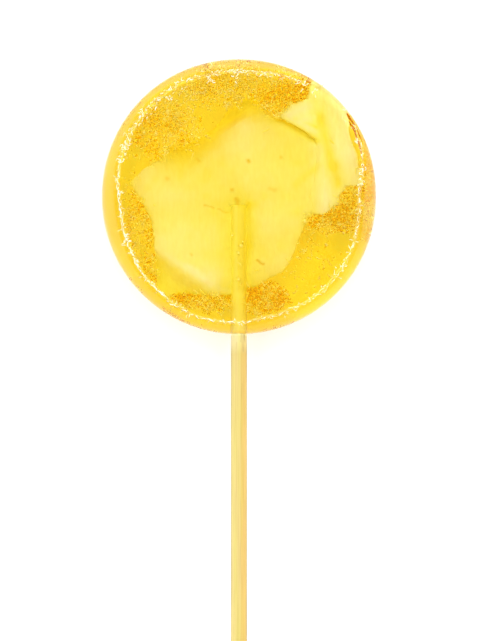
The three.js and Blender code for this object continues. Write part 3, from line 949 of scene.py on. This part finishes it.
def scatter(count, small, large, lowest, highest, seed, flock=1, kind=0):
    """Places and radii of bubbles or froth between two depths, denser where the patches say.

    With flock over 1 they keep more to the densest places."""
    draw = np.random.default_rng(seed)
    tries = count * TRIES
    distance = DISC_RADIUS * np.sqrt(draw.random(tries))
    angle = draw.uniform(-math.pi, math.pi, tries)
    x, y = distance * np.cos(angle), distance * np.sin(angle)
    z = FACE - draw.uniform(highest, lowest, tries)
    radius = small * (large / small) ** draw.random(tries) ** MORE_SMALL
    place = tuple(((np.stack([y, x]) + DISC_RADIUS) / MAP_STEP).round().astype(int))
    wanted = draw.random(tries) < crowd_maps[kind][place] ** flock
    wanted &= z > FACE - fruit_depth[place]
    wanted &= z + radius + SKIN < top_at(distance, angle)
    wanted &= distance + radius + SKIN + (BACK_ROUND - z).clip(0) < DISC_RADIUS
    found = []
    for ball in np.stack([x, y, z, radius], -1)[wanted]:
        if len(found) < count and free_place(*ball):
            found.append(ball)
    return np.array(found)


def balls(found, subdivisions, stretch, seed):
    """Points and faces of a lumpy ball at each place, drawn out sideways, with its faces pointing in."""
    draw = np.random.default_rng(seed)
    ball = bmesh.new()
    bmesh.ops.create_icosphere(ball, subdivisions=subdivisions, radius=1)
    unit = np.array([v.co for v in ball.verts])
    corners = np.array([[v.index for v in face.verts] for face in ball.faces])[:, ::-1]
    ball.free()
    count = len(found)
    long = 1 + stretch * draw.random(count) ** 2
    heading = draw.uniform(0, math.pi, count)
    lumps = unit * draw.normal(1, LUMPS, (count, len(unit), 1))
    x, y = lumps[..., 0] * long[:, None], lumps[..., 1] / long[:, None] ** 0.5
    cos, sin = np.cos(heading)[:, None], np.sin(heading)[:, None]
    shaped = np.stack([x * cos - y * sin, x * sin + y * cos, lumps[..., 2] / long[:, None] ** 0.5], -1)
    points = (found[:, None, :3] + shaped * found[:, None, 3:]).reshape(-1, 3)
    faces = (corners + np.arange(count)[:, None, None] * len(unit)).reshape(-1, 3)
    return points, faces


hollow, tree, shader = start_material("hollow in the sugar", 0)
shader.inputs["IOR"].default_value = SUGAR_IOR
shader.inputs["Transmission Weight"].default_value = 1
uneven_colour(tree, shader, 2, {0.3: (0.98, 0.9, 0.28), 0.7: (0.98, 0.86, 0.18)})
print("scatter and balls are ready")

# %% [markdown]
# Real bubbles come in every size, but it is the few large ones that catch the eye, and the fine ones
# only make a grain. So there is one piece for each of three sizes, and the finest are made of fewer
# faces. The large ones are placed first, because a large ball finds no room among many small ones.

# %% Bubbles of three sizes
# Each size: how many, the smallest and the largest radius, the depths between which they lie, how
# often the ball is subdivided, how far it is drawn out, and how much they keep to dense places.
BUBBLE_SIZES = {
    "bubbles_large": (120, 0.38, 0.5, 7.0, 1.0, 2, 0.3, 1.4),
    "bubbles_middle": (900, 0.2, 0.34, 7.4, 2.4, 2, 0.5, 1.4),
    "bubbles_fine": (1100, 0.12, 0.19, 7.6, 3.0, 1, 0.6, 1.2),
}
bubbles = {}
for seed, (name, size) in enumerate(BUBBLE_SIZES.items(), 61):
    count, small, large, lowest, highest, subdivisions, stretch, flock = size
    found = scatter(count, small, large, lowest, highest, seed, flock)
    bubbles[name] = found
    piece = mesh_piece(name, *balls(found, subdivisions, stretch, seed), hollow)
    print(len(found), "bubbles in", name)

# %% [markdown]
# ## Froth
# Some bubbles are so small, and packed so close under the face, that they read as pale dots and
# short crooked threads. Modelling each of their films would be far too fine, so a fleck of froth is
# a small pale body just under the face. A few larger, rounder ones are pearls, some of them at
# chosen places. Each larger bubble near the face also holds a pale core, which is a painted
# highlight: the bright middle of the bubble, made as a matt pale body.

# %% A thread of froth
def thread(path, radii, sides=5):
    """Points and faces of a closed tube along a path, with the given radius at each point."""
    path = np.asarray(path)
    along = np.gradient(path, axis=0)
    along /= np.linalg.norm(along, axis=1)[:, None]
    across = np.cross(along, (0, 0, 1))
    across /= np.linalg.norm(across, axis=1)[:, None] + 1e-9
    over = np.cross(across, along)
    bearings = np.arange(sides) * 2 * math.pi / sides
    rings = [centre + radius * (np.outer(np.cos(bearings), a) + np.outer(np.sin(bearings), o))
             for centre, radius, a, o in zip(path, radii, across, over)]
    return np.concatenate(rings + [path[:1], path[-1:]]), ring_faces(len(path), sides)


def joined(shapes):
    """Many small shapes as one array of points and one of faces."""
    offsets = np.cumsum([0] + [len(points) for points, faces in shapes])
    faces = [faces + offset for (points, faces), offset in zip(shapes, offsets)]
    return np.concatenate([points for points, faces in shapes]), np.concatenate(faces)


print("threads have 5 sides")

# %% [markdown]
# The dots, the pearls and the painted highlights in the bubbles are all small pale balls, so one
# piece holds them all. A dot or a pearl could be a cloud of still finer bubbles, but a matt body
# gives the same pale speck for far less work.

# %% Froth
# How many, the smallest and the largest radius, the depths between which they lie, the seed, how much
# they keep to dense places, and the kind of map.
FROTH_PEARLS = (260, 0.2, 0.34, 2.4, 0.7, 75, 1.3, 1)
FROTH_DOTS = (1500, 0.13, 0.26, 2.0, 0.4, 71, 1, 1)
FROTH_THREADS = (900, 0.09, 0.15, 1.3, 0.35, 73, 1, 1)
# Single pearls, as (x, y, depth, radius): the large ones at the upper left, and those over the stick.
PEARLS = [
    (-15.1, 17.3, 0.9, 0.42), (-12.8, 15.1, 0.8, 0.5), (-14.9, 11.2, 0.9, 0.45), (-17.1, 11.4, 1, 0.4),
    (-15.7, 14.4, 1.2, 0.35), (4.2, -16.8, 0.9, 0.42), (-1.2, -7.1, 1.1, 0.32), (0.4, -9.0, 1.1, 0.38),
    (-0.1, -10.3, 1.1, 0.32), (0.7, -8.3, 1.2, 0.2), (-0.1, -15.1, 1.1, 0.32), (0.3, -16.0, 1.1, 0.22),
    (11.9, -4.6, 0.9, 0.45), (6.0, -17.7, 0.9, 0.3),
]
# A core is a painted highlight: a pale ball in the middle of each larger bubble near the face.
GLINT_CORE = 0.5  # size of the core in a bubble, as a share of the bubble's
GLINT_CORE_DEPTH = 3.5
froth_and_glint, tree, shader = start_material("froth and painted glints under the face", 0.5)
uneven_colour(tree, shader, 1.5, {0.3: (1, 0.95, 0.24), 0.7: (1, 0.98, 0.5)})
placed = np.array(PEARLS) * (1, 1, -1, 1) + (0, 0, FACE, 0)
pearls = scatter(*FROTH_PEARLS)
dots = scatter(*FROTH_DOTS)
big = np.concatenate([bubbles["bubbles_large"], bubbles["bubbles_middle"]])
glint_cores = big[big[:, 2] > FACE - GLINT_CORE_DEPTH] * (1, 1, 1, GLINT_CORE)
dot_points, dot_faces = joined([
    balls(np.concatenate([dots, glint_cores]), 1, 0.6, 74), balls(np.concatenate([placed, pearls]), 2, 0.2, 76)
])
froth_dots_and_glints = mesh_piece("froth_dots_and_glints", dot_points, dot_faces[:, ::-1], froth_and_glint)

# %% [markdown]
# A thread is a row of tiny bubbles that ran into each other. It takes a few steps, turns a little at
# each one, is thickest just after its start and thins out to its end.

# %% Froth threads
FROTH_STEPS = (4, 8)  # at least the first number, and fewer than the second
FROTH_TURN = 0.7  # the most that a thread turns at a step, in radians
FROTH_STRIDE = (0.18, 0.32)
FROTH_TAPER = (0.4, 1, 0.5)  # thickness at the first point, the second and the last
draw = np.random.default_rng(72)
shapes = []
for x, y, z, radius in scatter(*FROTH_THREADS):
    steps = draw.integers(*FROTH_STEPS)
    heading = draw.uniform(0, 2 * math.pi) + np.cumsum(draw.uniform(-FROTH_TURN, FROTH_TURN, steps))
    stride = np.stack([np.cos(heading), np.sin(heading), 0 * heading], -1) * draw.uniform(*FROTH_STRIDE)
    path = np.array([x, y, z]) + np.cumsum(stride, axis=0)
    shapes.append(thread(path, np.interp(np.arange(steps), [0, 1, steps - 1], FROTH_TAPER) * radius))
froth_threads = mesh_piece("froth_threads", *joined(shapes), froth_and_glint)

# %% [markdown]
# ## The crackled line
# All round the face, a little inside the rim, runs a fine white line. It is partly the edge of the
# first skin that formed on the syrup, folded and crackled into tiny pale creases, and partly painted
# glint: the sparkle on the wrinkled ridge is made as pale matt threads. It is broken, doubles in
# places and gathers into knots. It is made of many short threads that lie half sunk in the face
# along the ridge, with their own jitter, so no two stretches repeat.

# %% Where the line is whole, broken or knotted
# Each stretch: from and to in degrees anticlockwise from +X, how far its threads stray sideways, the
# length of a thread, the share of the stretch that they cover, and how many run side by side.
STRETCHES = {
    "left": (163, 232, 0.06, 1.3, 0.85, 2),
    "bottom": (232, 285, 0.07, 1.2, 0.8, 1),
    "lower right": (285, 335, 0.12, 0.9, 0.65, 1),
    "right": (335, 380, 0.14, 0.9, 0.6, 1),
    "far right": (20, 38, 0.3, 0.6, 0.5, 1),
    "top": (62, 122, 0.3, 0.6, 0.5, 2),
    "upper left": (122, 163, 0.4, 0.6, 0.5, 3),
}
CREASE_STEP = 0.22  # between the points of a thread
PROUD = 0.01  # how far the middle of a spur's or a knot's thread lies over the face
SPURS = 260
SPUR_STRAY = 0.15  # how far from the line a spur starts
SPUR_LENGTHS = (0.3, 0.9)
SPUR_RADII = (0.03, 0.06)
KNOT_CURLS = 8  # in a knot of size 1
KNOT_SPREAD = 0.4  # how far its curls lie from its middle, as a share of its size
KNOT_STRIDES = (0.08, 0.16)
KNOT_RADII = (0.03, 0.085)
# Knots, as (x, y, size).
KNOTS = [
    (-20.4, 8.4, 0.9), (-17.6, 14.5, 0.8), (-20.3, -8.2, 0.8), (11.4, 20.2, 1.0), (13.8, 19, 0.7),
    (-0.5, 21.7, 1.1), (19.0, 15.4, 0.7), (21.4, 9.6, 0.6), (22.3, 4.6, 0.7), (19, -12.9, 0.7),
    (-12.5, 17.5, 0.7), (-5, 21.2, 0.8), (-19.2, -10.4, 0.5), (-21.2, 6.0, 0.5), (22.3, 2.2, 0.5),
    (-21.4, 1.2, 0.4), (-21.3, -0.4, 0.4), (-20.2, -7.2, 0.5), (-18.2, -11.8, 0.4), (-15.5, -15.8, 0.3),
]


def crease(angles, offset, thickness, sink):
    """A thread on the face along the ridge, at an offset from it, its middle sunk by some depth."""
    radius = ridge_radius(angles) + wander(angles) + offset
    x, y = radius * np.cos(angles), radius * np.sin(angles)
    rounded = np.sin(np.linspace(0.15, math.pi - 0.15, len(angles))) * 0.6 + 0.4
    return thread(np.stack([x, y, face_height(x, y) - sink], -1), rounded * thickness)


def stretch_of_line(draw, first, last, stray, length, cover, strands, thin, thick, sink):
    """Broken threads along one stretch of the ridge, uneven in length, in thickness and in gaps."""
    shapes = []
    for strand in range(strands):
        angle = math.radians(first)
        side = draw.normal(0, stray)
        while angle < math.radians(last):
            reach = length * draw.uniform(0.4, 1.6) / DISC_RADIUS
            steps = max(4, int(reach * DISC_RADIUS / CREASE_STEP))
            jitter = np.cumsum(draw.normal(0, 0.09 + 0.1 * stray, steps))
            bend = draw.normal(0, stray) * 0.6 + jitter - jitter.mean()
            thickness = draw.uniform(thin, thick) * draw.uniform(0.4, 1.3, steps)
            shapes.append(crease(np.linspace(angle, angle + reach, steps), side + bend, thickness, sink))
            side = 0.5 * side + draw.normal(0, stray)
            angle += reach * (1 + (1 / cover - 1) * draw.uniform(0.2, 1.8))
    return shapes


def spur(draw, angle, away, length, thickness):
    """A short crooked crease that leaves the line at one place, at up to a right angle."""
    steps = draw.integers(3, 6)
    heading = angle + math.pi / 2 + draw.choice([-1, 1]) * draw.uniform(0.3, 1.6)
    heading = heading + np.cumsum(draw.uniform(-0.7, 0.7, steps)) + draw.choice([0, math.pi])
    radius = ridge_radius(angle) + wander(np.atleast_1d(angle))[0] + away
    start = radius * np.array([math.cos(angle), math.sin(angle)])
    stride = np.stack([np.cos(heading), np.sin(heading)], -1) * length / steps
    place = start + np.cumsum(stride, axis=0)
    height = face_height(place[:, 0], place[:, 1]) + PROUD
    return thread(np.column_stack([place, height]), thickness * draw.uniform(0.5, 1.2, steps))


def knot(draw, x, y, size):
    """A few curled threads and small loops round one place on the face."""
    shapes = []
    for curl in range(int(KNOT_CURLS * size)):
        steps = draw.integers(4, 10)
        heading = draw.uniform(0, 2 * math.pi) + np.cumsum(draw.uniform(-0.5, 1.3, steps))
        stride = np.stack([np.cos(heading), np.sin(heading)], -1) * draw.uniform(*KNOT_STRIDES)
        place = np.array([x, y]) + draw.normal(0, KNOT_SPREAD * size, 2) + np.cumsum(stride, axis=0)
        height = face_height(place[:, 0], place[:, 1]) + PROUD
        shapes.append(thread(np.column_stack([place, height]), draw.uniform(*KNOT_RADII, steps)))
    return shapes


print(len(STRETCHES), "stretches and", len(KNOTS), "knots")

# %% [markdown]
# The line is laid stretch by stretch. Then spurs leave it at random places, with hardly any in the
# calm stretch, and knots gather at chosen ones. Its finish is pale, partly the crackled skin and
# partly painted glint, with a soft shine, a little yellower in places.

# %% Crackled line
THREAD_RADII = (0.04, 0.1)
draw = np.random.default_rng(81)
shapes = []
for stretch in STRETCHES.values():
    shapes += stretch_of_line(draw, *stretch, *THREAD_RADII, 0)
for angle in draw.uniform(0, 2 * math.pi, SPURS):
    if draw.random() < lively(angle):
        away = draw.normal(0, SPUR_STRAY)
        length = draw.uniform(*SPUR_LENGTHS)
        thickness = draw.uniform(*SPUR_RADII)
        shapes.append(spur(draw, angle, away, length, thickness))
for x, y, size in KNOTS:
    shapes += knot(draw, x, y, size)
# Pale threads: crackled skin, and in part painted glints of the ridge.
frosting_and_glint, tree, shader = start_material("crackled sugar skin and painted glint", 0.35)
uneven_colour(tree, shader, 1, {0.35: (1, 0.95, 0.55), 0.6: (1, 1, 0.88)})
crackled_line = mesh_piece("crackled_line", *joined(shapes), frosting_and_glint)
print(len(shapes), "threads")

# %% [markdown]
# Under the pale threads run hair cracks. A crack is a thin hollow, and like a bubble it shows dark,
# because light is thrown aside at its walls. It makes the pale thread beside it look brighter.

# %% Hair cracks
CRACK_DEPTH = 0.22
CRACK_RADII = (0.04, 0.07)
CRACKED = ("left", "bottom", "top", "upper left")
shapes = []
for name in CRACKED:
    first, last, stray, length, cover, strands = STRETCHES[name]
    cracks = (first, last, stray + 0.1, length, 0.6 * cover, 1)
    shapes += stretch_of_line(draw, *cracks, *CRACK_RADII, CRACK_DEPTH)
crack_points, crack_faces = joined(shapes)
hair_cracks = mesh_piece("hair_cracks", crack_points, crack_faces[:, ::-1], hollow)
print(len(shapes), "cracks")
